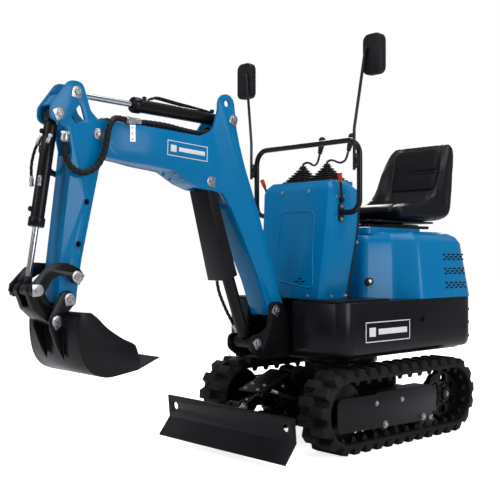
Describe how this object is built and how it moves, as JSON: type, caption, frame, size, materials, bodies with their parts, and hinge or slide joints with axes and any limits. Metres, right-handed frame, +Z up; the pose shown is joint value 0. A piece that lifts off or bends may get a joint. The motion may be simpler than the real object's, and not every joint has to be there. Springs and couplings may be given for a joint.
{
  "type": "mini excavator",
  "caption": "Small tracked digger: slewing house with open seat and control console, cranked boom, stick, bucket and a dozer blade.",
  "frame": {"origin": "middle of the overall box, on the ground under the tracks", "axes": "+X is the digging end, the way the driver faces; +Y is the driver's left; +Z is up"},
  "size_m": [2.6429, 1, 1.962],
  "materials": {
    "blue_paint": "satin",
    "black_paint": "satin",
    "black_plastic": "matte",
    "red_plastic": "satin",
    "rubber": "matte",
    "boot_rubber": "matte",
    "vinyl": "satin",
    "chrome": "polished",
    "engine": "rough"
  },
  "bodies": {
    "undercarriage": {"car_body": "black_paint", "slew_ring": "black_paint", "track_frame_left": "black_paint", "track_left": "rubber", "sprocket_left": "black_paint", "idler_left": "black_paint", "roller_front_left": "black_paint", "roller_rear_left": "black_paint", "track_frame_right": "black_paint", "track_right": "rubber", "sprocket_right": "black_paint", "idler_right": "black_paint", "roller_front_right": "black_paint", "roller_rear_right": "black_paint"},
    "blade": {"blade": "black_paint", "blade_arm": "black_paint"},
    "blade_cylinder_barrel": {"blade_cylinder_barrel": "black_paint", "blade_cylinder_cover": "black_paint"},
    "blade_cylinder_rod": {"blade_cylinder_rod": "chrome"},
    "house": {"house_frame": "black_paint", "lower_body": "black_plastic", "floor_plate": "black_plastic", "hood": "blue_paint", "engine_block": "engine", "console": "blue_paint", "guard_rail": "black_paint", "seat_slide": "black_paint", "seat": "vinyl", "lever_boot_left": "boot_rubber", "joystick_left": "black_paint", "joystick_grip_left": "black_plastic", "centre_lever_left": "black_plastic", "side_lever_left": "black_paint", "lever_tip_left": "red_plastic", "mirror_stem_left": "black_paint", "mirror_head_left": "black_plastic", "lever_boot_right": "boot_rubber", "joystick_right": "black_paint", "joystick_grip_right": "black_plastic", "centre_lever_right": "black_plastic", "side_lever_right": "black_paint", "lever_tip_right": "red_plastic", "mirror_stem_right": "black_paint", "mirror_head_right": "black_plastic"},
    "boom": {"boom": "blue_paint", "boom_cylinder_guard": "black_paint"},
    "boom_cylinder_barrel": {"boom_cylinder_barrel": "black_paint"},
    "boom_cylinder_rod": {"boom_cylinder_rod": "chrome"},
    "stick": {"stick": "blue_paint"},
    "arm_cylinder_barrel": {"arm_cylinder_barrel": "black_paint"},
    "arm_cylinder_rod": {"arm_cylinder_rod": "chrome"},
    "bucket": {"bucket": "black_paint"},
    "rocker": {"rocker_link": "black_paint"},
    "coupler": {"coupler_link": "black_paint"},
    "bucket_cylinder_barrel": {"bucket_cylinder_barrel": "black_paint"},
    "bucket_cylinder_rod": {"bucket_cylinder_rod": "chrome"}
  },
  "joints": [
    {"name": "slew", "type": "hinge", "parent": "undercarriage", "child": "house", "pos_m": [-0.5262, 0, 0.372], "axis": [0, 0, 1], "continuous": true},
    {"name": "boom_lift", "type": "hinge", "parent": "house", "child": "boom", "pos_m": [0.0228, 0, 0.659], "axis": [0, -1, 0], "range_deg": [-60, 30]},
    {"name": "stick_swing", "type": "hinge", "parent": "boom", "child": "stick", "pos_m": [0.9998, 0, 1.41], "axis": [0, 1, 0], "range_deg": [-70, 28]},
    {"name": "bucket_curl", "type": "hinge", "parent": "stick", "child": "bucket", "pos_m": [1.1428, 0, 0.75], "axis": [0, 1, 0], "range_deg": [-100, 35]},
    {"name": "blade_lift", "type": "hinge", "parent": "undercarriage", "child": "blade", "pos_m": [-0.1662, 0, 0.12], "axis": [0, -1, 0], "range_deg": [-18, 22]},
    {"name": "boom_cylinder_swing", "type": "hinge", "parent": "house", "child": "boom_cylinder_barrel", "pos_m": [0.1438, 0, 0.509], "axis": [0, -1, 0], "range_deg": [-55.5, 27.8]},
    {"name": "boom_cylinder_stroke", "type": "slide", "parent": "boom_cylinder_barrel", "child": "boom_cylinder_rod", "axis": [0.3442, 0, 0.9389], "range_m": [-0.181, 0.091]},
    {"name": "arm_cylinder_swing", "type": "hinge", "parent": "boom", "child": "arm_cylinder_barrel", "pos_m": [0.2798, 0, 1.543], "axis": [0, 1, 0], "range_deg": [-4.1, 1.7]},
    {"name": "arm_cylinder_stroke", "type": "slide", "parent": "arm_cylinder_barrel", "child": "arm_cylinder_rod", "axis": [0.9995, 0, 0.0329], "range_m": [-0.206, 0.083]},
    {"name": "rocker_swing", "type": "hinge", "parent": "stick", "child": "rocker", "pos_m": [1.1198, 0, 0.837], "axis": [0, 1, 0], "range_deg": [-64.2, 22.6]},
    {"name": "coupler_swing", "type": "hinge", "parent": "rocker", "child": "coupler", "pos_m": [1.2898, 0, 0.788], "axis": [0, 1, 0], "range_deg": [-12.1, 34.2]},
    {"name": "bucket_cylinder_swing", "type": "hinge", "parent": "stick", "child": "bucket_cylinder_barrel", "pos_m": [1.1788, 0, 1.476], "axis": [0, 1, 0], "range_deg": [-1.6, 0.6]},
    {"name": "bucket_cylinder_stroke", "type": "slide", "parent": "bucket_cylinder_barrel", "child": "bucket_cylinder_rod", "axis": [0.1593, 0, -0.9872], "range_m": [-0.188, 0.066]},
    {"name": "blade_cylinder_swing", "type": "hinge", "parent": "undercarriage", "child": "blade_cylinder_barrel", "pos_m": [-0.1532, 0, 0.343], "axis": [0, -1, 0], "range_deg": [-15.2, 18.5]},
    {"name": "blade_cylinder_stroke", "type": "slide", "parent": "blade_cylinder_barrel", "child": "blade_cylinder_rod", "axis": [0.9353, 0, -0.3538], "range_m": [-0.083, 0.068]}
  ],
  "couplings": [
    {"joint": "boom_cylinder_swing", "follows": "boom_lift", "ratio": 0.915},
    {"joint": "boom_cylinder_stroke", "follows": "boom_lift", "m_per_rad": 0.1723},
    {"joint": "arm_cylinder_swing", "follows": "stick_swing", "ratio": 0.0573},
    {"joint": "arm_cylinder_stroke", "follows": "stick_swing", "m_per_rad": 0.1677},
    {"joint": "rocker_swing", "follows": "bucket_curl", "ratio": 0.64},
    {"joint": "coupler_swing", "follows": "bucket_curl", "ratio": -0.34},
    {"joint": "bucket_cylinder_swing", "follows": "bucket_curl", "ratio": 0.015},
    {"joint": "bucket_cylinder_stroke", "follows": "bucket_curl", "m_per_rad": 0.1075},
    {"joint": "blade_cylinder_swing", "follows": "blade_lift", "ratio": 0.835},
    {"joint": "blade_cylinder_stroke", "follows": "blade_lift", "m_per_rad": -0.2141}
  ]
}
